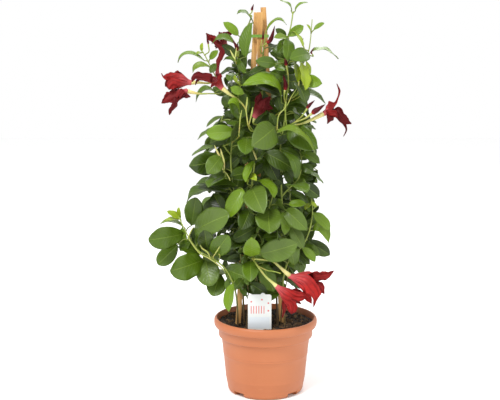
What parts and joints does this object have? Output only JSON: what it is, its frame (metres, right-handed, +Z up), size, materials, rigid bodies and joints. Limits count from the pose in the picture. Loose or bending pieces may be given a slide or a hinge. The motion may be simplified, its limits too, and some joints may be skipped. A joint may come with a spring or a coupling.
{
  "type": "potted mandevilla",
  "caption": "Climbing mandevilla with dark red flowers and glossy green leaves, trained up three canes tied at the top, standing in a round plastic pot with a plain label.",
  "frame": {"origin": "centre of the pot's flat underside", "axes": "+Z up, -Y towards the front, where the label faces, +X to the right seen from the front"},
  "size_m": [0.2808, 0.2127, 0.5605],
  "materials": {
    "pot_plastic": "satin",
    "potting_mix": "matte",
    "lath_wood": "matte",
    "tie_plastic": "satin",
    "label_card": "satin",
    "foliage": "satin",
    "pale_stalk": "satin",
    "petal": "satin",
    "bud": "satin"
  },
  "bodies": {
    "root": {"pot": "pot_plastic", "soil": "potting_mix", "cane_left": "lath_wood", "cane_middle": "lath_wood", "cane_right": "lath_wood", "tie": "tie_plastic", "label": "label_card", "vine_left": "foliage", "vine_front": "foliage", "vine_right": "foliage", "shoot_left": "foliage", "shoot_right": "foliage", "vine_back_left": "foliage", "vine_back": "foliage", "vine_back_right": "foliage", "stalk_far_left_up": "pale_stalk", "stalk_far_left_low": "pale_stalk", "stalk_centre": "pale_stalk", "stalk_deep": "pale_stalk", "stalk_left_top": "pale_stalk", "stalk_right": "pale_stalk", "stalk_right_high": "pale_stalk", "stalk_low": "pale_stalk", "stalk_bud_top_left": "pale_stalk", "stalk_bud_top": "pale_stalk", "stalk_bud_left": "pale_stalk", "stalk_bud_far_left": "pale_stalk", "stalk_bud_right": "pale_stalk", "stalk_bud_right_high": "pale_stalk", "bloom_far_left_up": "petal", "bloom_far_left_low": "petal", "bloom_centre": "petal", "bloom_left_top": "petal", "bloom_deep": "petal", "bloom_right": "petal", "bloom_low_right": "petal", "bloom_low_centre": "petal", "bud_top_left": "bud", "bud_top_front": "bud", "bud_top_thin": "bud", "bud_left": "bud", "bud_far_left": "bud", "bud_right_inner": "bud", "bud_right_high": "bud", "bud_right_mid": "bud", "bud_right_dark": "bud", "bud_right_low": "bud", "bud_right_long": "bud"}
  },
  "joints": []
}
